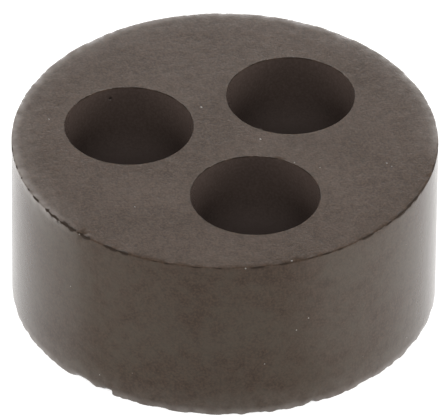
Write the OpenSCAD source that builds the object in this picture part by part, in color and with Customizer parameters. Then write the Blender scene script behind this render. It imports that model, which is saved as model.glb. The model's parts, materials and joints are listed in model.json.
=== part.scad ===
// Seal insert for a screwed cable gland: one solid rubber plug with equal
// through bores on one circle. The gland's nut squeezes it endwise, so that
// the outer wall seals in the gland body and each bore closes on one cable.
//
// Millimetres. The origin is the centre of the lower face, +Z runs along the
// plug's axis, and the first bore lies on -Y.

/* [Plug] */
// Outer diameter of the relaxed plug
outer_d = 19.6; // [16.3:0.1:26]
// Height of the plug between its two flat faces
height = 8.45; // [4:0.05:16]
// Radius of the moulded round on the upper and lower outer rims
rim_round = 0.06; // [0.03:0.01:0.5]

/* [Bores] */
// Number of cable bores, evenly spaced on one circle
bore_count = 3; // [2:1:4]
// Diameter of each relaxed bore
bore_d = 5.9; // [3:0.1:7.2]
// Rubber between two neighbouring bores where they are closest
web = 1.9; // [1:0.1:3]
// Width of the 45 degree break on the two mouths of each bore
mouth_break = 0.02; // [0.01:0.01:0.3]

/* [Hidden] */

outer_r = outer_d / 2;
bore_r = bore_d / 2;
// Neighbouring bore axes are a bore and a web apart, which sets their circle.
bore_circle_r = (bore_d + web) / 2 / sin(180 / bore_count);
first_bore_angle = -90;
// How far a cutting shape runs past the face that it opens
overrun = 0.5;
rubber = [0.35, 0.31, 0.28];
$fn = 128;

// Half section of the plain plug, with both rims rounded.
module plug_section() {
    square([outer_r - rim_round, height]);
    translate([0, rim_round])
        square([outer_r, height - 2 * rim_round]);
    for (z = [rim_round, height - rim_round])
        translate([outer_r - rim_round, z])
            circle(rim_round);
}

// Cone that breaks the edge of one bore mouth, whose face is at height 0 and
// whose bore lies below it.
module mouth_cone() {
    translate([0, 0, -mouth_break])
        cylinder(
            r1 = bore_r,
            r2 = bore_r + mouth_break + overrun,
            h = mouth_break + overrun
        );
}

// Everything that one bore removes, standing on the bore's own axis.
module bore_cut() {
    translate([0, 0, -overrun])
        cylinder(r = bore_r, h = height + 2 * overrun);
    translate([0, 0, height])
        mouth_cone();
    mirror([0, 0, 1])
        mouth_cone();
}

// Places its children on every bore axis.
module at_bores() {
    for (i = [0 : bore_count - 1])
        rotate([0, 0, first_bore_angle + i * 360 / bore_count])
            translate([bore_circle_r, 0, 0])
                children();
}

module seal_insert() {
    color(rubber)
        difference() {
            rotate_extrude()
                plug_section();
            at_bores()
                bore_cut();
        }
}

seal_insert();
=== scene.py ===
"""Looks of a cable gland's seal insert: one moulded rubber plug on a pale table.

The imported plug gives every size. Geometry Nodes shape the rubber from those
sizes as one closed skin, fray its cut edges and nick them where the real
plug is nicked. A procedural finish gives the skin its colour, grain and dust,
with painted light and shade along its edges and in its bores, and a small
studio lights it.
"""

import json
import logging
import math
from collections.abc import Mapping, Sequence
from dataclasses import asdict, dataclass
from enum import Enum
from typing import Any

import bpy
from mathutils import Matrix, Quaternion, Vector


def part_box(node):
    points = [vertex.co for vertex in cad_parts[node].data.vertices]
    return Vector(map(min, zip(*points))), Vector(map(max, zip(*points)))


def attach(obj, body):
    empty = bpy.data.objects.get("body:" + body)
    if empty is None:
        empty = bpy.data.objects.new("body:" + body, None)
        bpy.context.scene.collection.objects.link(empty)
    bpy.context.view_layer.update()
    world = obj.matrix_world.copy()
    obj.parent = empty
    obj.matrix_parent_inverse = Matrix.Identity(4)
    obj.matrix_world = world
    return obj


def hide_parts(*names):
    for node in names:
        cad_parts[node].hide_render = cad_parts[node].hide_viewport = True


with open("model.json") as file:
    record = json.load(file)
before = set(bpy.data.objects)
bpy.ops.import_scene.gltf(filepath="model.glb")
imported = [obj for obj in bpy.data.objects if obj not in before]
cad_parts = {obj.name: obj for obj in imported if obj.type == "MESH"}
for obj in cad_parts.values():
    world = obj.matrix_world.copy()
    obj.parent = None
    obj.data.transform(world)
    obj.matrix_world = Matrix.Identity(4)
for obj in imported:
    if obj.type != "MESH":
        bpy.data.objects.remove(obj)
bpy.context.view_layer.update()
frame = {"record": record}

log = logging.getLogger("seal_insert")

MM = 0.001
FULL_TURN = 2 * math.pi
QUARTER_TURN = math.pi / 2
BODY = "root"
PLUG_NODE = "seal_insert"

# A width too small to show, which keeps a fade from starting where it ends.
NO_WIDTH_MM = 0.001
# What a random field of 0.5 on average is multiplied by to be 1 on average.
EVEN = 2.0

Colour = tuple[float, float, float]
Fade = tuple[float, float]


# ---------------------------------------------------------------- node trees


@dataclass(frozen=True)
class Wire:
    """One output of a node, on which arithmetic adds further math nodes."""

    writer: "NodeWriter"
    socket: bpy.types.NodeSocket

    def __add__(self, other: "Operand") -> "Wire":
        """Return this value plus another wire or number."""
        return self.writer.math("ADD", self, other)

    def __radd__(self, other: float) -> "Wire":
        """Return a number plus this value."""
        return self.writer.math("ADD", other, self)

    def __sub__(self, other: "Operand") -> "Wire":
        """Return this value less another wire or number."""
        return self.writer.math("SUBTRACT", self, other)

    def __rsub__(self, other: float) -> "Wire":
        """Return a number less this value."""
        return self.writer.math("SUBTRACT", other, self)

    def __mul__(self, other: "Operand") -> "Wire":
        """Return this value times another wire or number."""
        return self.writer.math("MULTIPLY", self, other)

    def __truediv__(self, other: "Operand") -> "Wire":
        """Return this value over another wire or number."""
        return self.writer.math("DIVIDE", self, other)

    def __rtruediv__(self, other: float) -> "Wire":
        """Return a number over this value."""
        return self.writer.math("DIVIDE", other, self)


Operand = Wire | float


class NodeWriter:
    """Adds nodes to one tree and wires them by plain calls."""

    def __init__(self, tree: bpy.types.NodeTree) -> None:
        """Take the tree that every new node goes into.

        Args:
            tree: A geometry or shader node tree.
        """
        self.tree = tree

    def add(
        self,
        kind: str,
        inputs: Mapping[str | int, Any] | None = None,
        **settings: Any,
    ) -> bpy.types.Node:
        """Add one node with its settings and its inputs.

        Args:
            kind: Blender's name for the kind of node.
            inputs: A wire or a constant for each input, by name or place.
            **settings: Values for the node's own properties.

        Returns:
            The new node.
        """
        node = self.tree.nodes.new(kind)
        for name, value in settings.items():
            setattr(node, name, value)
        for key, value in (inputs or {}).items():
            self.feed(node.inputs[key], value)
        return node

    def feed(self, socket: bpy.types.NodeSocket, value: Any) -> None:
        """Link a wire to an input, or set the input to a constant.

        Args:
            socket: The input.
            value: A wire, or a value that the input can hold.
        """
        if isinstance(value, Wire):
            self.tree.links.new(value.socket, socket)
        else:
            socket.default_value = value

    def out(self, node: bpy.types.Node, key: str | int = 0) -> Wire:
        """Return one output of a node as a wire."""
        return Wire(self, node.outputs[key])

    def math(self, operation: str, *operands: Operand, clamp: bool = False) -> Wire:
        """Add one math node.

        Args:
            operation: Blender's name for the sum to do.
            *operands: Its one to three operands.
            clamp: Whether the result is held between 0 and 1.

        Returns:
            The result.
        """
        inputs = dict(enumerate(operands))
        node = self.add("ShaderNodeMath", inputs, operation=operation, use_clamp=clamp)
        return self.out(node)

    def vector(self, x: Operand, y: Operand, z: Operand) -> Wire:
        """Return a vector made of three numbers."""
        return self.out(self.add("ShaderNodeCombineXYZ", {"X": x, "Y": y, "Z": z}))

    def split(self, vector: Wire) -> tuple[Wire, Wire, Wire]:
        """Return the three numbers that make a vector."""
        node = self.add("ShaderNodeSeparateXYZ", {0: vector})
        return self.out(node, 0), self.out(node, 1), self.out(node, 2)

    def scaled(self, vector: Wire, factor: float) -> Wire:
        """Return a vector times a number."""
        inputs = {0: vector, "Scale": factor}
        return self.out(self.add("ShaderNodeVectorMath", inputs, operation="SCALE"))

    def distance(self, place: Wire, point: Sequence[float]) -> Wire:
        """Return the distance from each place to one point."""
        inputs = {0: place, 1: tuple(point)}
        node = self.add("ShaderNodeVectorMath", inputs, operation="DISTANCE")
        return self.out(node, "Value")

    def fade(self, value: Wire, start: Operand, end: Operand) -> Wire:
        """Return a smooth step that is 0 at start and 1 at end, either way round."""
        inputs = {"Value": value, "From Min": start, "From Max": end}
        node = self.add("ShaderNodeMapRange", inputs, interpolation_type="SMOOTHSTEP")
        return self.out(node)

    def noise(self, place: Wire, grain: float, seed: float, detail: float = 2.0) -> Wire:
        """Add a smooth random field.

        Args:
            place: Where the field is read.
            grain: Size of the largest grains, in the units of place.
            seed: Picks one field out of many.
            detail: How many finer octaves are added.

        Returns:
            The field, about 0.5 on average and between 0 and 1.
        """
        inputs = {"Vector": place, "W": seed, "Scale": 1 / grain, "Detail": detail}
        return self.out(self.add("ShaderNodeTexNoise", inputs, noise_dimensions="4D"))

    def tint(self, share: Operand, low: Colour | Wire, high: Colour | Wire) -> Wire:
        """Return a colour between two colours, the second where share is 1."""
        node = self.add("ShaderNodeMix", data_type="RGBA")
        factor, first, second = (node.inputs[i] for i in (0, 6, 7))
        self.feed(factor, share)
        for socket, colour in ((first, low), (second, high)):
            self.feed(socket, colour if isinstance(colour, Wire) else (*colour, 1.0))
        return self.out(node, 2)

    def surface(self, inputs: Mapping[str | int, Any]) -> None:
        """End a material's tree with one principled shader that has these inputs."""
        shader = self.add("ShaderNodeBsdfPrincipled", inputs)
        self.add("ShaderNodeOutputMaterial", {"Surface": self.out(shader)})


def blank_material(name: str) -> tuple[bpy.types.Material, NodeWriter]:
    """Make a material without nodes.

    Args:
        name: Its name.

    Returns:
        The material and the writer of its tree.
    """
    material = bpy.data.materials.new(name)
    material.use_nodes = True
    material.node_tree.nodes.clear()
    return material, NodeWriter(material.node_tree)


# ------------------------------------------------------------ sizes and marks


@dataclass(frozen=True)
class PlugSizes:
    """The plug's own sizes, in metres and radians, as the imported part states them."""

    outer_radius: float
    height: float
    rim_round: float
    bore_radius: float
    mouth_round: float
    bore_circle: float
    bore_count: int
    first_bearing: float

    @classmethod
    def from_frame(cls, record: Mapping[str, Any], low: Vector, high: Vector) -> "PlugSizes":
        """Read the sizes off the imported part.

        Args:
            record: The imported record, whose round mounts are the plug's walls.
            low: Lowest corner of the plug.
            high: Highest corner of the plug.

        Returns:
            The sizes.
        """
        bores = [mount for mount in record["mounts"] if mount["kind"] == "bore"]
        wall = next(mount for mount in record["mounts"] if mount["kind"] == "pin")
        first = bores[0]
        height = high.z - low.z
        return cls(
            outer_radius=wall["dims"]["r_mm"] * MM,
            height=height,
            rim_round=(height - wall["dims"]["length_mm"] * MM) / 2,
            bore_radius=first["dims"]["r_mm"] * MM,
            mouth_round=(height - first["dims"]["length_mm"] * MM) / 2,
            bore_circle=math.hypot(first["pos_m"][0], first["pos_m"][1]),
            bore_count=len(bores),
            first_bearing=math.atan2(first["pos_m"][1], first["pos_m"][0]),
        )

    @property
    def sector(self) -> float:
        """Angle of the sector that belongs to one bore."""
        return FULL_TURN / self.bore_count

    def bore_axis(self, index: int) -> Vector:
        """Return the foot of one bore's axis on the lower face."""
        bearing = self.first_bearing + index * self.sector
        return Vector((math.cos(bearing), math.sin(bearing), 0.0)) * self.bore_circle


class Level(Enum):
    """Which of the plug's two flat faces an edge belongs to."""

    LOWER = 0
    UPPER = 1


@dataclass(frozen=True)
class RimNick:
    """A place where the outer rim has lost a little rubber.

    The lean says where along the nick it is deepest: 0 is its middle, and
    1 and -1 are its two ends, the first of them at the larger bearing.
    """

    level: Level
    bearing_deg: float
    length_mm: float
    depth_mm: float
    lean: float = 0.0

    def point(self, sizes: PlugSizes) -> Vector:
        """Return the middle of the nick, on the sharp corner of the rim."""
        bearing = math.radians(self.bearing_deg)
        x = sizes.outer_radius * math.cos(bearing)
        y = sizes.outer_radius * math.sin(bearing)
        return Vector((x, y, sizes.height * self.level.value))


@dataclass(frozen=True)
class MouthNick:
    """A place where the mouth of one bore has lost a little rubber."""

    level: Level
    bore: int
    bearing_deg: float
    length_mm: float
    depth_mm: float
    lean: float = 0.0

    def point(self, sizes: PlugSizes) -> Vector:
        """Return the middle of the nick, on the sharp corner of the mouth."""
        bearing = math.radians(self.bearing_deg)
        across = Vector((math.cos(bearing), math.sin(bearing), 0.0)) * sizes.bore_radius
        lift = Vector((0.0, 0.0, sizes.height * self.level.value))
        return sizes.bore_axis(self.bore) + across + lift


@dataclass(frozen=True)
class MouthTag(MouthNick):
    """A place where a tag of rubber stands into the mouth of one bore."""


RIM_NICKS = (
    RimNick(Level.UPPER, -149.5, 0.5, 0.04),
    RimNick(Level.UPPER, -88.5, 0.4, 0.03),
    RimNick(Level.UPPER, 38.0, 1.4, 0.018),
    RimNick(Level.UPPER, 50.0, 1.0, 0.022),
    RimNick(Level.UPPER, 110.5, 1.4, 0.018),
    RimNick(Level.UPPER, 134.5, 1.1, 0.020),
    RimNick(Level.LOWER, -149.1, 1.7, 0.14),
    RimNick(Level.LOWER, -142.1, 1.0, 0.19, 0.85),
    RimNick(Level.LOWER, -83.5, 0.4, 0.07, 0.4),
)
MOUTH_NICKS = (MouthNick(Level.UPPER, 0, 50.0, 0.3, 0.03),)
MOUTH_TAGS = (MouthTag(Level.UPPER, 1, -136.5, 0.34, 0.10),)


# --------------------------------------------------------------------- rubber


@dataclass(frozen=True)
class Spot:
    """A small place on the skin, in millimetres, with its depth below the upper face."""

    x: float
    y: float
    below: float
    radius: float

    def centre(self, sizes: PlugSizes) -> tuple[float, float, float]:
        """Return the place in the object's own millimetres."""
        return (self.x, self.y, sizes.height / MM - self.below)


@dataclass(frozen=True)
class DarkRun:
    """A length of the upper rim that is edged with a dark line of painted shade."""

    start_deg: float
    end_deg: float
    reach_mm: float
    blend_deg: float = 1.5

    def reach(self, writer: NodeWriter, bearing: Wire) -> Wire:
        """Return the line's width at each bearing, which is 0 away from this run."""
        begun = writer.fade(bearing, self.start_deg - self.blend_deg, self.start_deg)
        left = writer.fade(bearing, self.end_deg + self.blend_deg, self.end_deg)
        return begun * left * self.reach_mm


@dataclass(frozen=True)
class RubberFinish:
    """Warm dark rubber, satin and finely grained, with a faint bloom and pale dust.

    The clean rubber runs from deep to warm, with some olive. The bloom lies on
    the outer wall. Painted light lies in the bores, paler deeper down, a
    painted highlight runs pale along the rims, and painted shade makes a dark
    line along the edges and darkens the pit. A fade's mask is 0 at its first
    value and 1 at its second. A mix is how much each random field adds, from
    the finest to the widest.
    """

    deep: Colour = (0.046, 0.0305, 0.021)
    warm: Colour = (0.099, 0.063, 0.0435)
    olive: Colour = (0.063, 0.047, 0.033)
    dust: Colour = (0.46, 0.42, 0.37)
    # Painted shade in the pit.
    hollow: Colour = (0.012, 0.009, 0.008)
    # Painted light in the bores: a paler colour over their walls, paler still deeper down.
    film: Colour = (0.079, 0.058, 0.050)
    painted_deep_bore_light: Colour = (0.170, 0.132, 0.118)
    # Painted shade: a matt dark line along the upper rim and round the bores' mouths.
    trimmed: Colour = (0.030, 0.019, 0.012)
    # Painted highlight: a pale band along the lower rim and the back of the upper rim.
    rubbed: Colour = (0.320, 0.288, 0.265)
    bloom: Colour = (0.083, 0.071, 0.055)
    ior: float = 1.3
    roughness: float = 0.235
    roughness_spread: float = 0.06
    # Painted shade along the edges: its roughness, grain, core and widths.
    edge_shade_roughness: float = 0.8
    edge_shade_grain_mm: float = 0.34
    edge_shade_core: float = 0.4
    mouth_shade_mm: float = 0.05
    ragged_fade: Fade = (0.35, 0.65)
    ragged_least: float = 0.2
    ragged_span: float = 1.5
    # Painted highlight along the rims: its width, strength, haze and where it starts on the upper
    # rim.
    rim_glare_mm: float = 0.52
    rim_glare_share: float = 0.82
    rim_glare_edge: float = 0.56
    rim_glare_haze: float = 0.18
    rim_glare_haze_reach: float = 3.2
    rim_glare_y_fade_mm: Fade = (-5.0, -2.4)
    bloom_share: float = 0.30
    bloom_mix: tuple[float, float] = (0.4, 0.6)
    bloom_fade: Fade = (0.3, 0.7)
    bloom_gap_fade_mm: Fade = (0.3, 0.1)
    # Painted light in the bores.
    bore_light_share: float = 0.90
    bore_light_depth_fade_mm: Fade = (2.0, 4.4)
    bore_light_gap_fade_mm: Fade = (0.15, 0.05)
    bore_light_grain: float = 0.8
    bore_light_grain_middle: float = 0.4
    face_fade_mm: Fade = (0.0, 0.1)
    body_mix: tuple[float, float, float] = (0.62, 0.22, 0.16)
    body_fade: Fade = (0.31, 0.69)
    olive_share: float = 0.4
    olive_fade: Fade = (-0.1, 0.4)
    grain_mm: float = 0.11
    mottle_mm: float = 0.50
    cloud_mm: float = 3.0
    grain_relief_mm: float = 0.005
    mottle_relief_mm: float = 0.006
    dust_cell_mm: float = 1.15
    dust_radius_mm: float = 0.035
    dust_share: float = 0.45
    specks: tuple[Spot, ...] = (
        Spot(-0.30, 2.61, 0.0, 0.060),
        Spot(1.54, -0.54, 0.0, 0.055),
        Spot(-7.27, 3.82, 0.0, 0.045),
        Spot(6.48, -4.00, 0.0, 0.040),
        Spot(6.62, -4.29, 0.0, 0.035),
        Spot(2.48, -2.68, 0.0, 0.035),
        Spot(0.86, -9.76, 3.4, 0.050),
        Spot(0.28, -9.80, 3.93, 0.050),
        Spot(-1.20, -9.73, 5.59, 0.045),
        Spot(6.45, -7.38, 7.59, 0.045),
        Spot(-8.77, -4.37, 3.33, 0.040),
        Spot(-8.50, -4.85, 0.07, 0.050),
        Spot(-2.10, -9.55, 0.04, 0.050),
        Spot(0.05, -9.68, 0.02, 0.045),
    )
    pit: Spot = Spot(-3.88, 5.252, 0.56, 0.13)
    dark_runs: tuple[DarkRun, ...] = (
        DarkRun(166.0, 176.0, 0.05),
        DarkRun(-182.0, -166.0, 0.08),
        DarkRun(-163.5, -147.5, 0.17),
        DarkRun(-141.0, -134.5, 0.13),
        DarkRun(-131.0, -119.0, 0.06),
        DarkRun(-116.5, -109.0, 0.05),
        DarkRun(-101.0, -91.0, 0.08),
        DarkRun(-84.5, -75.0, 0.07),
        DarkRun(-68.5, -55.5, 0.09),
        DarkRun(-54.0, -44.0, 0.12),
        DarkRun(-41.5, -20.0, 0.05),
    )
    pit_depth_mm: float = 0.08

    def material(self, sizes: PlugSizes) -> bpy.types.Material:
        """Build the finish as a material.

        Args:
            sizes: The plug's sizes, which place its edges.

        Returns:
            The material, with its pattern in the object's own millimetres.
        """
        material, writer = blank_material("moulded_rubber")
        coordinates = writer.out(writer.add("ShaderNodeTexCoord"), "Object")
        place = writer.scaled(coordinates, 1 / MM)
        grain = writer.noise(place, self.grain_mm, seed=1.0)
        mottle = writer.noise(place, self.mottle_mm, seed=2.0)
        cloud = writer.noise(place, self.cloud_mm, seed=3.0)
        dust = self._dust(writer, place, sizes)
        pit = writer.fade(writer.distance(place, self.pit.centre(sizes)), self.pit.radius, 0.0)
        film, depth, bloomed, rubbed, trimmed = self._bloom_and_painted_masks(writer, place, sizes)
        colour = self._colour(writer, grain, mottle, cloud)
        middling, wide = self.bloom_mix
        patches = writer.fade(mottle * middling + cloud * wide, *self.bloom_fade)
        colour = writer.tint(bloomed * patches * EVEN * self.bloom_share, colour, self.bloom)
        # Painted light in the bores, paler the deeper a place lies.
        deepness = depth + (grain - self.bore_light_grain_middle) * self.bore_light_grain
        bore_light_colour = writer.tint(deepness, self.film, self.painted_deep_bore_light)
        colour = writer.tint(film * self.bore_light_share, colour, bore_light_colour)
        # Painted highlight, pale along the rims.
        colour = writer.tint(rubbed * mottle * EVEN * self.rim_glare_share, colour, self.rubbed)
        # Painted shade along the upper rim and the mouths.
        colour = writer.tint(trimmed, colour, self.trimmed)
        # Painted shade darkens the pit.
        colour = writer.tint(pit, colour, self.hollow)
        colour = writer.tint(dust, colour, self.dust)
        uneven = (mottle + cloud - 1.0) * self.roughness_spread
        rough = writer.math("MAXIMUM", self.roughness + uneven, trimmed * self.edge_shade_roughness)
        rough = writer.math("MAXIMUM", rough, dust)
        height = grain * self.grain_relief_mm + mottle * self.mottle_relief_mm
        height = (height - pit * self.pit_depth_mm + dust * self.dust_radius_mm) * MM
        bump = writer.add("ShaderNodeBump", {"Height": height, "Distance": 1.0})
        normal = writer.out(bump)
        inputs = {"Base Color": colour, "Roughness": rough, "IOR": self.ior, "Normal": normal}
        writer.surface(inputs)
        return material

    def _colour(self, writer: NodeWriter, grain: Wire, mottle: Wire, cloud: Wire) -> Wire:
        """Mix the rubber's own colours.

        Args:
            writer: Writer of the material's tree.
            grain: The finest random field.
            mottle: The middle one.
            cloud: The widest one.

        Returns:
            The colour of clean rubber.
        """
        fine, middling, wide = self.body_mix
        share = grain * fine + mottle * middling + cloud * wide
        body = writer.tint(writer.fade(share, *self.body_fade), self.deep, self.warm)
        olive = writer.fade(mottle - grain, *self.olive_fade) * self.olive_share
        return writer.tint(olive, body, self.olive)

    def _bloom_and_painted_masks(
        self, writer: NodeWriter, place: Wire, sizes: PlugSizes
    ) -> tuple[Wire, Wire, Wire, Wire, Wire]:
        """Mask what differs from the upper face: the bores, the wall, the rims and every edge.

        Args:
            writer: Writer of the material's tree.
            place: The object's coordinates in millimetres.
            sizes: The plug's sizes.

        Returns:
            Masks of the painted light in the bores, of how deep in them a place
            lies, of the outer wall, of the painted highlight along the rims,
            and of the painted shade, a matt dark line along the edges.
        """
        x, y, z = writer.split(place)
        radius = writer.math("SQRT", x * x + y * y)
        middle = sizes.height / MM / 2
        to_face = middle - writer.math("ABSOLUTE", z - middle)
        is_upper = writer.math("GREATER_THAN", z, middle)
        wall_gap = sizes.outer_radius / MM - radius
        rim_gap = writer.math("MAXIMUM", wall_gap, to_face)
        off_face = writer.fade(to_face, *self.face_fade_mm)
        bloomed = writer.fade(wall_gap, *self.bloom_gap_fade_mm) * off_face
        flat_place = writer.vector(x, y, 0.0)
        bore_gap = radius
        for index in range(sizes.bore_count):
            away = writer.distance(flat_place, sizes.bore_axis(index) / MM)
            gap = writer.math("ABSOLUTE", away - sizes.bore_radius / MM)
            bore_gap = writer.math("MINIMUM", bore_gap, gap)
        mouth_gap = writer.math("MAXIMUM", bore_gap, to_face)
        # Painted light over the bore walls.
        film = writer.fade(bore_gap, *self.bore_light_gap_fade_mm) * off_face
        depth = writer.fade(to_face, *self.bore_light_depth_fade_mm)
        # The painted highlight lies all round the lower rim, but on the upper rim only away from
        # the front (-Y).
        behind = writer.fade(y, *self.rim_glare_y_fade_mm)
        edge = writer.fade(rim_gap, self.rim_glare_mm, 0.0) * self.rim_glare_edge
        haze_mm = self.rim_glare_mm * self.rim_glare_haze_reach
        haze = writer.fade(rim_gap, haze_mm, 0.0) * self.rim_glare_haze
        rubbed = (edge + haze) * writer.math("MAXIMUM", 1.0 - is_upper, behind)
        # The dark line of painted shade along the upper rim and round every mouth.
        spots = writer.noise(place, self.edge_shade_grain_mm, seed=5.0, detail=1.0)
        ragged = self.ragged_least + writer.fade(spots, *self.ragged_fade) * self.ragged_span
        bearing = writer.math("ARCTAN2", y, x) * math.degrees(1.0)
        rim_reach: Operand = NO_WIDTH_MM
        for run in self.dark_runs:
            rim_reach = run.reach(writer, bearing) + rim_reach
        rim_reach = rim_reach * ragged
        mouth_reach = ragged * self.mouth_shade_mm
        rim_line = writer.fade(rim_gap, rim_reach, rim_reach * self.edge_shade_core) * is_upper
        mouth_line = writer.fade(mouth_gap, mouth_reach, mouth_reach * self.edge_shade_core)
        return film, depth, bloomed, rubbed, writer.math("MAXIMUM", rim_line, mouth_line)

    def _dust(self, writer: NodeWriter, place: Wire, sizes: PlugSizes) -> Wire:
        """Mask the pale grains: the chosen ones and a sparse random scatter.

        Args:
            writer: Writer of the material's tree.
            place: The object's coordinates in millimetres.
            sizes: The plug's sizes.

        Returns:
            A mask that is 1 on a grain.
        """
        inputs = {"Vector": place, "Scale": 1 / self.dust_cell_mm}
        cells = writer.add("ShaderNodeTexVoronoi", inputs)
        reach = writer.out(cells, "Distance") * self.dust_cell_mm
        lot, _, _ = writer.split(writer.out(cells, "Color"))
        kept = writer.math("LESS_THAN", lot, self.dust_share)
        mask = writer.fade(reach, self.dust_radius_mm, self.dust_radius_mm / 2) * kept
        for speck in self.specks:
            away = writer.distance(place, speck.centre(sizes))
            spot = writer.fade(away, speck.radius, speck.radius / 3)
            mask = writer.math("MAXIMUM", mask, spot)
        return mask


# ------------------------------------------------------------------- the plug


@dataclass(frozen=True)
class SkinDensity:
    """How finely the plug's skin is divided."""

    arc_columns: int = 280
    line_columns: int = 50
    face_rows: int = 14
    mouth_rows: int = 1
    bore_rows: int = 16
    rim_rows: int = 5
    wall_rows: int = 26


@dataclass(frozen=True)
class SkinRelief:
    """How the skin departs from the perfect plug.

    Lengths are in millimetres. The fray's fade turns a random field into
    bites, and the nicks' spread is how far one reaches past its half length.
    """

    rim_reach: float = 0.16
    nick_reach: float = 0.34
    upper_fray: float = 0.022
    lower_fray: float = 0.09
    rim_grain: float = 0.42
    lower_grain: float = 0.62
    mouth_reach: float = 0.12
    mouth_fray: float = 0.012
    mouth_grain: float = 0.30
    inset: float = 0.003
    waviness: float = 0.006
    wave_grain: float = 2.4
    merge: float = 0.001
    crease_deg: float = 35.0
    fray_fade: Fade = (0.40, 0.75)
    nick_spread: float = 1.2


@dataclass(frozen=True)
class TreeInput:
    """One named size of the tree that shapes the plug."""

    name: str
    value: float | int

    @property
    def kind(self) -> str:
        """Blender's name for the kind of socket that holds the value."""
        return "NodeSocketInt" if isinstance(self.value, int) else "NodeSocketFloat"


class PlugTree:
    """The Geometry Nodes tree that shapes the plug.

    One sheet per bore covers the upper face, the bore and the lower face of
    that bore's sector, and one sheet covers the rims and the outer wall. Its
    inputs are the sizes and the densities under their own names.
    """

    SEED: float = 7.0
    WAVE_SEED: float = 9.0

    def __init__(self, sizes: PlugSizes, density: SkinDensity, relief: SkinRelief) -> None:
        """Start an empty tree with its named inputs.

        Args:
            sizes: The plug's sizes.
            density: How finely the skin is divided.
            relief: How the skin departs from the perfect plug.
        """
        self.sizes = sizes
        self.relief = relief
        frays = {
            "upper_fray": relief.upper_fray * MM,
            "lower_fray": relief.lower_fray * MM,
            "mouth_fray": relief.mouth_fray * MM,
        }
        values = {**asdict(sizes), **asdict(density), **frays}
        self.inputs = tuple(
            TreeInput(name.replace("_", " ").title(), value) for name, value in values.items()
        )
        self.group = bpy.data.node_groups.new("plug_shape", "GeometryNodeTree")
        self.writer = NodeWriter(self.group)
        self.identifiers: dict[str, str] = {}
        for item in self.inputs:
            socket = self.group.interface.new_socket(
                name=item.name, in_out="INPUT", socket_type=item.kind
            )
            self.identifiers[item.name] = socket.identifier
        self.group.interface.new_socket(
            name="Geometry", in_out="OUTPUT", socket_type="NodeSocketGeometry"
        )
        self.source = self.writer.add("NodeGroupInput")

    def size(self, name: str) -> Wire:
        """Return one of the tree's named inputs."""
        return self.writer.out(self.source, name)

    def build(self, nicks: Sequence[RimNick | MouthNick], material: bpy.types.Material) -> None:
        """Write the whole tree.

        Args:
            nicks: The nicks in rims and mouths, and the tags in mouths.
            material: The finish that the skin is given.
        """
        writer = self.writer
        join = writer.add("GeometryNodeJoinGeometry")
        for part in (self._sectors(), self._shell()):
            writer.feed(join.inputs[0], part)
        skin = writer.add(
            "GeometryNodeMergeByDistance",
            {"Geometry": writer.out(join), "Distance": self.relief.merge * MM},
        )
        worn = writer.add(
            "GeometryNodeSetPosition",
            {"Geometry": writer.out(skin), "Offset": self._wear(nicks)},
        )
        smooth = writer.add("GeometryNodeSetShadeSmooth", {0: writer.out(worn)})
        bend = writer.out(writer.add("GeometryNodeInputMeshEdgeAngle"))
        crease = writer.math("GREATER_THAN", bend, math.radians(self.relief.crease_deg))
        creased = writer.add(
            "GeometryNodeSetShadeSmooth",
            {"Geometry": writer.out(smooth), "Selection": crease, "Shade Smooth": False},
            domain="EDGE",
        )
        real = writer.add("GeometryNodeRealizeInstances", {0: writer.out(creased)})
        dressed = writer.add(
            "GeometryNodeSetMaterial", {"Geometry": writer.out(real), "Material": material}
        )
        writer.add("NodeGroupOutput", {0: writer.out(dressed)})

    def _sheet(self, columns: Wire, rows: Wire) -> tuple[Wire, Wire, Wire]:
        """Add one flat sheet of quads.

        Args:
            columns: How many quads it has along X.
            rows: How many it has along Y.

        Returns:
            The sheet, and each point's column and row number.
        """
        writer = self.writer
        grid = writer.add(
            "GeometryNodeMeshGrid",
            {"Size X": 1.0, "Size Y": 1.0, "Vertices X": columns + 1, "Vertices Y": rows + 1},
        )
        across, along, _ = writer.split(writer.out(writer.add("GeometryNodeInputPosition")))
        column = writer.math("ROUND", (across + 0.5) * columns)
        row = writer.math("ROUND", (along + 0.5) * rows)
        return writer.out(grid), column, row

    def _placed(self, sheet: Wire, position: Wire) -> Wire:
        """Return the sheet with its points moved to their places."""
        inputs = {"Geometry": sheet, "Position": position}
        return self.writer.out(self.writer.add("GeometryNodeSetPosition", inputs))

    def _share(self, value: Wire, start: Operand, length: Operand) -> Wire:
        """Return how far value has got from start, as a share of length from 0 to 1."""
        return self.writer.math("DIVIDE", value - start, length, clamp=True)

    def _eased(self, share: Wire) -> Wire:
        """Return a share whose steps are close together at both of its ends."""
        return 0.5 - self.writer.math("COSINE", share * math.pi) * 0.5

    def _edge_profile(
        self, row: Wire, edge_rows: Wire, wall_rows: Wire, edge_round: Wire
    ) -> tuple[Wire, Wire]:
        """Follow a straight wall between two rounded edges.

        Args:
            row: Row number, 0 on the first face.
            edge_rows: Rows in each rounded edge.
            wall_rows: Rows in the straight wall.
            edge_round: Radius of the rounded edges.

        Returns:
            How far the skin is set back from the wall, and how far it has
            come from the first face.
        """
        writer = self.writer
        turn_on = self._share(row, 0.0, edge_rows) * QUARTER_TURN
        travel = self._eased(self._share(row, edge_rows, wall_rows))
        turn_off = self._share(row, edge_rows + wall_rows, edge_rows) * QUARTER_TURN
        bulge = writer.math("SINE", turn_on) * writer.math("COSINE", turn_off)
        setback = edge_round * (1.0 - bulge)
        straight = self.size("Height") - edge_round * 2.0
        turned = (1.0 - writer.math("COSINE", turn_on)) + writer.math("SINE", turn_off)
        return setback, edge_round * turned + straight * travel

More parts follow.
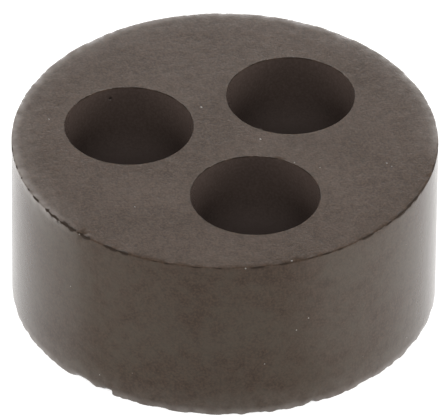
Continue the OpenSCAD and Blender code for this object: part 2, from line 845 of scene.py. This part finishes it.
    def _shell(self) -> Wire:
        """Shape the two rims and the outer wall.

        Returns:
            The sheet, open at both faces.
        """
        writer = self.writer
        rim_rows, wall_rows = self.size("Rim Rows"), self.size("Wall Rows")
        columns = self.size("Arc Columns") * self.size("Bore Count")
        sheet, column, row = self._sheet(columns, rim_rows * 2.0 + wall_rows)
        half_sector = math.pi / self.size("Bore Count")
        bearing = column / columns * FULL_TURN + self.size("First Bearing") - half_sector
        setback, rise = self._edge_profile(row, rim_rows, wall_rows, self.size("Rim Round"))
        radius = self.size("Outer Radius") - setback
        x = radius * writer.math("COSINE", bearing)
        y = radius * writer.math("SINE", bearing)
        return self._placed(sheet, writer.vector(x, y, rise))

    def _sectors(self) -> Wire:
        """Shape one bore's sector, and set it round the axis once per bore.

        Returns:
            The sheets, open at the rims.
        """
        writer = self.writer
        lines, arc = self.size("Line Columns"), self.size("Arc Columns")
        faces, mouths = self.size("Face Rows"), self.size("Mouth Rows")
        walls = self.size("Bore Rows")
        rows = faces * 2.0 + mouths * 2.0 + walls
        sheet, column, row = self._sheet(lines * 2.0 + arc, rows)
        edge_x, edge_y = self._sector_outline(column, lines, arc)
        circle = self.size("Bore Circle")
        from_axis = writer.math(
            "SQRT", (edge_x - circle) * (edge_x - circle) + edge_y * edge_y
        )
        ray_x, ray_y = (edge_x - circle) / from_axis, edge_y / from_axis
        setback, drop = self._edge_profile(row - faces, mouths, walls, self.size("Mouth Round"))
        wall = self.size("Bore Radius") + setback
        upper = 1.0 - self._share(row, 0.0, faces)
        lower = self._share(row, rows - faces, faces)
        outward = self._eased(upper + lower)
        reach = wall + (from_axis - wall) * outward
        place = writer.vector(circle + ray_x * reach, ray_y * reach, self.size("Height") - drop)
        return self._round_the_axis(self._placed(sheet, place))

    def _sector_outline(self, column: Wire, lines: Wire, arc: Wire) -> tuple[Wire, Wire]:
        """Walk round a sector: out along one line, over the arc and back along the other.

        Args:
            column: Column number.
            lines: Columns along each straight line.
            arc: Columns over the arc.

        Returns:
            X and Y of the outline, with the sector's middle on +X.
        """
        writer = self.writer
        face_radius = self.size("Outer Radius") - self.size("Rim Round")
        out_and_back = self._share(column, 0.0, lines) - self._share(column, lines + arc, lines)
        half_sector = math.pi / self.size("Bore Count")
        bearing = half_sector * (self._share(column, lines, arc) * 2.0 - 1.0)
        reach = face_radius * out_and_back
        return reach * writer.math("COSINE", bearing), reach * writer.math("SINE", bearing)

    def _round_the_axis(self, sheet: Wire) -> Wire:
        """Return the sheet repeated round the plug's axis, once per bore."""
        writer = self.writer
        count = self.size("Bore Count")
        points = writer.add("GeometryNodePoints", {"Count": count})
        index = writer.out(writer.add("GeometryNodeInputIndex"))
        turn = writer.vector(0.0, 0.0, index / count * FULL_TURN + self.size("First Bearing"))
        copies = writer.add(
            "GeometryNodeInstanceOnPoints",
            {"Points": writer.out(points), "Instance": sheet, "Rotation": turn},
        )
        return writer.out(writer.add("GeometryNodeRealizeInstances", {0: writer.out(copies)}))

    def _wear(self, nicks: Sequence[RimNick | MouthNick]) -> Wire:
        """Work out how far each point of the skin leaves the perfect plug.

        Args:
            nicks: The nicks in rims and mouths, and the tags in mouths.

        Returns:
            The offset, which leads out of the perfect plug only where a tag
            stands into a mouth.
        """
        writer, relief = self.writer, self.relief
        place = writer.out(writer.add("GeometryNodeInputPosition"))
        x, y, z = writer.split(place)
        radius = writer.math("SQRT", x * x + y * y)
        middle = self.size("Height") * 0.5
        to_face = middle - writer.math("ABSOLUTE", z - middle)
        inward = writer.math("SIGN", middle - z)
        rim_gap = writer.math("MAXIMUM", self.size("Outer Radius") - radius, to_face)
        rim_near = writer.fade(rim_gap, relief.rim_reach * MM, 0.0)
        fine = self._fray(place, relief.rim_grain) * self.size("Upper Fray")
        coarse = self._fray(place, relief.lower_grain) * self.size("Lower Fray")
        is_lower = writer.math("LESS_THAN", z, middle)
        rim_fray = fine + (coarse - fine) * is_lower
        nick_near = writer.fade(rim_gap, relief.nick_reach * MM, 0.0)
        rim_cut = rim_near * rim_fray + nick_near * self._nicked(place, nicks, RimNick)
        bore_x, bore_y, bore_gap = self._from_nearest_bore(x, y)
        mouth_gap = writer.math("MAXIMUM", bore_gap, to_face)
        mouth_near = writer.fade(mouth_gap, relief.mouth_reach * MM, 0.0)
        mouth_fray = self._fray(place, relief.mouth_grain) * self.size("Mouth Fray")
        mouth_cut = mouth_near * self._nicked(place, nicks, MouthNick)
        tags = self._nicked(place, nicks, MouthTag)
        mouth_shift = mouth_cut + mouth_near * (mouth_fray - tags)
        safe_radius = writer.math("MAXIMUM", radius, MM)
        out_x, out_y = x / safe_radius, y / safe_radius
        normal = writer.out(writer.add("GeometryNodeInputNormal"))
        waves = writer.noise(place, relief.wave_grain * MM, self.WAVE_SEED)
        wave = writer.add(
            "ShaderNodeVectorMath",
            {0: normal, "Scale": waves * (-relief.waviness * MM) - relief.inset * MM},
            operation="SCALE",
        )
        offset_x = bore_x * mouth_shift - out_x * rim_cut
        offset_y = bore_y * mouth_shift - out_y * rim_cut
        offset_z = inward * (rim_cut + mouth_cut)
        moved = writer.add(
            "ShaderNodeVectorMath",
            {0: writer.vector(offset_x, offset_y, offset_z), 1: writer.out(wave)},
            operation="ADD",
        )
        return writer.out(moved)

    def _fray(self, place: Wire, grain: float) -> Wire:
        """Work out where an edge is ragged.

        Args:
            place: Position of each point.
            grain: Length of the bites, in millimetres.

        Returns:
            1 in the deepest bites and 0 where the edge is whole.
        """
        bites = self.writer.noise(place, grain * MM, self.SEED + grain)
        return self.writer.fade(bites, *self.relief.fray_fade)

    def _nicked(
        self, place: Wire, nicks: Sequence[RimNick | MouthNick], kind: type[RimNick | MouthNick]
    ) -> Wire:
        """Work out how deep the nicks of one kind are.

        Args:
            place: Position of each point.
            nicks: Every nick and tag.
            kind: The kind to work out.

        Returns:
            Their depth, before it fades away from the edge.
        """
        writer = self.writer
        torn = 0.5 + writer.noise(place, self.relief.rim_grain * MM, self.SEED, detail=1.0)
        loss: Operand = 0.0
        for nick in nicks:
            if type(nick) is kind:
                loss = self._bite(place, nick) * torn * (nick.depth_mm * MM) + loss
        return loss

    def _bite(self, place: Wire, nick: RimNick | MouthNick) -> Wire:
        """Work out how far each point lies inside one nick.

        Args:
            place: Position of each point.
            nick: The nick.

        Returns:
            1 where the nick is deepest and 0 outside it.
        """
        writer = self.writer
        bearing = math.radians(nick.bearing_deg)
        along = (-math.sin(bearing), math.cos(bearing), 0.0)
        half = nick.length_mm / 2 * MM
        reach = {0: place, 1: tuple(nick.point(self.sizes))}
        offset = writer.out(writer.add("ShaderNodeVectorMath", reach, operation="SUBTRACT"))
        product = {0: offset, 1: along}
        dot = writer.add("ShaderNodeVectorMath", product, operation="DOT_PRODUCT")
        travel = writer.out(dot, "Value")
        peak = half * nick.lean
        rise = writer.fade(travel, -half, peak)
        fall = writer.fade(travel, half, peak)
        away = writer.distance(place, nick.point(self.sizes))
        near = writer.math("LESS_THAN", away, half * self.relief.nick_spread)
        return rise * fall * near

    def _from_nearest_bore(self, x: Wire, y: Wire) -> tuple[Wire, Wire, Wire]:
        """Find the nearest bore of each point.

        Args:
            x: The point's X.
            y: The point's Y.

        Returns:
            X and Y of the direction away from the bore's axis, and the
            distance to the bore's wall, either side of it.
        """
        writer, sizes = self.writer, self.sizes
        bearing = writer.math("ARCTAN2", y, x) - sizes.first_bearing
        turn = writer.math("ROUND", bearing / sizes.sector) * sizes.sector + sizes.first_bearing
        from_x = x - writer.math("COSINE", turn) * self.size("Bore Circle")
        from_y = y - writer.math("SINE", turn) * self.size("Bore Circle")
        away = writer.math("SQRT", from_x * from_x + from_y * from_y)
        gap = writer.math("ABSOLUTE", away - self.size("Bore Radius"))
        safe = writer.math("MAXIMUM", away, MM)
        return from_x / safe, from_y / safe, gap


@dataclass(frozen=True)
class SealInsert:
    """The moulded rubber plug itself."""

    sizes: PlugSizes
    density: SkinDensity = SkinDensity()
    relief: SkinRelief = SkinRelief()
    finish: RubberFinish = RubberFinish()
    name: str = "seal_insert_rubber"

    def build(self) -> bpy.types.Object:
        """Returns:
            The finished piece, a plain closed mesh.
        """
        tree = PlugTree(self.sizes, self.density, self.relief)
        nicks = (*RIM_NICKS, *MOUTH_NICKS, *MOUTH_TAGS)
        tree.build(nicks, self.finish.material(self.sizes))
        piece = bpy.data.objects.new(self.name, bpy.data.meshes.new(self.name))
        bpy.context.scene.collection.objects.link(piece)
        modifier = piece.modifiers.new("plug_shape", "NODES")
        modifier.node_group = tree.group
        for item in tree.inputs:
            modifier[tree.identifiers[item.name]] = item.value
        graph = bpy.context.evaluated_depsgraph_get()
        skin = bpy.data.meshes.new_from_object(piece.evaluated_get(graph), depsgraph=graph)
        piece.modifiers.remove(modifier)
        piece.data = skin
        skin.name = self.name
        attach(piece, BODY)
        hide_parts(PLUG_NODE)
        log.info("%s: %d points, %d faces", self.name, len(skin.vertices), len(skin.polygons))
        return piece


# --------------------------------------------------------------------- studio

# Shader inputs of a surface without any gloss.
MATT: dict[str, float] = {"Roughness": 1.0, "Specular IOR Level": 0.0}


@dataclass(frozen=True)
class FloorFinish:
    """Matt white table top that shows as the white ground and keeps shadows."""

    colour: Colour = (0.80, 0.80, 0.80)
    seen_lift: float = 0.70
    mirrored_lift: float = 1.0
    # The table's glow in reflections before the plug, lowered there as a painted shadow.
    front_lift: float = 0.25
    front_azimuth_deg: float = -18.0
    front_edge: Fade = (9.3 * MM, 6.3 * MM)
    front_right_deg: Fade = (22.0, 42.0)

    def material(self, covered: float) -> bpy.types.Material:
        """Build the finish as a material.

        Args:
            covered: Radius of the round place under the bores.

        Returns:
            The material, lifted to white for the camera and in reflections,
            but less in reflections of the table before the plug, which paints
            the plug's shadow there, and not at all under the bores.
        """
        material, writer = blank_material("white_table")
        path = writer.add("ShaderNodeLightPath")
        glossy, clear = (writer.out(path, f"Is {kind} Ray") for kind in ("Glossy", "Transmission"))
        place = writer.out(writer.add("ShaderNodeTexCoord"), "Object")
        # Painted shadow before the plug: the table glows less there in reflections.
        beside = self.front_lift + self._beside(writer, place) * (1.0 - self.front_lift)
        mirrored = writer.math("MAXIMUM", glossy, clear) * beside * self.mirrored_lift
        lift = writer.out(path, "Is Camera Ray") * self.seen_lift + mirrored
        away = writer.distance(place, (0.0, 0.0, 0.0))
        open_table = writer.math("GREATER_THAN", away, covered)
        glow = {"Emission Color": (1.0, 1.0, 1.0, 1.0), "Emission Strength": lift * open_table}
        writer.surface({"Base Color": (*self.colour, 1.0), **MATT, **glow})
        return material

    def _beside(self, writer: NodeWriter, place: Wire) -> Wire:
        """Mask the table beside and behind the plug.

        Args:
            writer: Writer of the material's tree.
            place: The table's own coordinates.

        Returns:
            A mask that is 0 before the plug.
        """
        x, y, _ = writer.split(place)
        front = direction(self.front_azimuth_deg, 0.0)
        ahead = x * front.x + y * front.y
        rightward = x * -front.y + y * front.x
        bearing = writer.math("ARCTAN2", rightward, ahead) * math.degrees(1.0)
        behind = writer.fade(ahead, *self.front_edge)
        right = writer.fade(bearing, *self.front_right_deg)
        return writer.math("MAXIMUM", behind, right)


@dataclass(frozen=True)
class CardFinish:
    """Dark matt card that keeps light off the front of the plug."""

    colour: Colour = (0.04, 0.04, 0.04)

    def material(self) -> bpy.types.Material:
        """Build the finish as a material.

        Returns:
            The material.
        """
        material, writer = blank_material("dark_card")
        writer.surface({"Base Color": (*self.colour, 1.0), **MATT})
        return material


def direction(azimuth_deg: float, elevation_deg: float) -> Vector:
    """Point from the plug to something that stands round it.

    Args:
        azimuth_deg: Bearing of the thing, 0 on -Y and growing towards +X.
        elevation_deg: Angle above the table.

    Returns:
        A vector of length 1.
    """
    azimuth, elevation = math.radians(azimuth_deg), math.radians(elevation_deg)
    flat = math.cos(elevation)
    return Vector((math.sin(azimuth) * flat, -math.cos(azimuth) * flat, math.sin(elevation)))


def facing(place: Vector, target: Vector) -> Matrix:
    """Stand something at a place with its -Z towards a target.

    Args:
        place: Where it stands.
        target: What it faces.

    Returns:
        Its matrix.
    """
    turn = (target - place).to_track_quat("-Z", "Y")
    return Matrix.Translation(place) @ turn.to_matrix().to_4x4()


@dataclass(frozen=True)
class Softbox:
    """One large soft lamp, turned to the plug."""

    name: str
    azimuth_deg: float
    elevation_deg: float
    share: float
    side: float = 0.40
    distance: float = 0.60

    def build(self, target: Vector) -> bpy.types.Object:
        """Add the lamp.

        Args:
            target: What the lamp faces.

        Returns:
            The lamp, which lights a card that faces it to its share of white.
        """
        data = bpy.data.lights.new(self.name, "AREA")
        data.shape = "SQUARE"
        data.size = self.side
        data.energy = self.share * (math.pi * self.distance) ** 2
        lamp = bpy.data.objects.new(self.name, data)
        place = target + direction(self.azimuth_deg, self.elevation_deg) * self.distance
        lamp.matrix_world = facing(place, target)
        bpy.context.scene.collection.objects.link(lamp)
        return lamp


@dataclass(frozen=True)
class Studio:
    """White table, soft lamps, a dark card on the camera's side and a pale room."""

    sizes: PlugSizes
    floor_side: float = 4.0
    room_level: float = 0.36
    card_side: float = 0.55
    card_distance: float = 0.62
    card_azimuth_deg: float = -18.0
    card_elevation_deg: float = 37.0
    softboxes: tuple[Softbox, ...] = (
        Softbox("lamp_front", -18.0, 38.0, 0.38),
        Softbox("lamp_back", 162.0, 12.0, 0.97),
        Softbox("lamp_left", -108.0, 12.0, 0.60),
        Softbox("lamp_right", 72.0, 12.0, 0.76),
    )

    def build(self) -> None:
        """Add everything round the plug."""
        target = Vector((0.0, 0.0, self.sizes.height / 2))
        table_top = FloorFinish().material(self.sizes.bore_circle + self.sizes.bore_radius)
        table = self._panel("table", self.floor_side, Matrix.Identity(4), table_top)
        towards_card = direction(self.card_azimuth_deg, self.card_elevation_deg)
        stand = facing(target + towards_card * self.card_distance, target)
        card = self._panel("card", self.card_side, stand, CardFinish().material())
        for softbox in self.softboxes:
            softbox.build(target)
        self._room()

    def _panel(
        self, name: str, side: float, stand: Matrix, material: bpy.types.Material
    ) -> bpy.types.Object:
        """Add one square flat panel.

        Args:
            name: Its name.
            side: Length of its sides.
            stand: Where it stands and how it is turned.
            material: Its finish.

        Returns:
            The panel.
        """
        half = side / 2
        corners = [(-half, -half, 0.0), (half, -half, 0.0), (half, half, 0.0), (-half, half, 0.0)]
        mesh = bpy.data.meshes.new(name)
        mesh.from_pydata([stand @ Vector(corner) for corner in corners], [], [(0, 1, 2, 3)])
        mesh.materials.append(material)
        panel = bpy.data.objects.new(name, mesh)
        bpy.context.scene.collection.objects.link(panel)
        return panel

    def _room(self) -> None:
        """Fill the room with even light."""
        world = bpy.data.worlds.new("pale_room")
        world.use_nodes = True
        world.node_tree.nodes.clear()
        writer = NodeWriter(world.node_tree)
        light = {"Color": (1.0, 1.0, 1.0, 1.0), "Strength": self.room_level}
        background = writer.add("ShaderNodeBackground", light)
        writer.add("ShaderNodeOutputWorld", {"Surface": writer.out(background)})
        bpy.context.scene.world = world


@dataclass(frozen=True)
class ProductCamera:
    """Long lens that looks down on the plug from its front left."""

    azimuth_deg: float = -18.16
    elevation_deg: float = 37.2
    distance: float = 504.4 * MM
    lens_mm: float = 883.7
    aim_height: float = 4.42 * MM
    aim_left: float = 0.061 * MM
    roll_deg: float = 0.482

    def build(self, sizes: PlugSizes) -> bpy.types.Object:
        """Stand the camera and make it the scene's own.

        Args:
            sizes: The plug's sizes; the distance counts from its middle.

        Returns:
            The camera.
        """
        data = bpy.data.cameras.new("product_camera")
        data.lens = self.lens_mm
        camera = bpy.data.objects.new("product_camera", data)
        bpy.context.scene.collection.objects.link(camera)
        view = direction(self.azimuth_deg, self.elevation_deg)
        place = Vector((0.0, 0.0, sizes.height / 2)) + view * self.distance
        right = view.cross(Vector((0.0, 0.0, -1.0))).normalized()
        aim = Vector((0.0, 0.0, self.aim_height)) - right * self.aim_left
        roll = Quaternion((0.0, 0.0, 1.0), math.radians(self.roll_deg))
        camera.matrix_world = facing(place, aim) @ roll.to_matrix().to_4x4()
        bpy.context.scene.camera = camera
        return camera


def main() -> None:
    """Build the camera, the plug and the studio, in that order."""
    logging.basicConfig(level=logging.INFO, format="%(name)s: %(message)s")
    low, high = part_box(PLUG_NODE)
    sizes = PlugSizes.from_frame(frame["record"], low, high)
    ProductCamera().build(sizes)
    log.info("camera stands")
    SealInsert(sizes).build()
    Studio(sizes).build()
    log.info("studio stands")
    bpy.context.scene.view_settings.view_transform = "Standard"


if __name__ == "__main__":
    main()
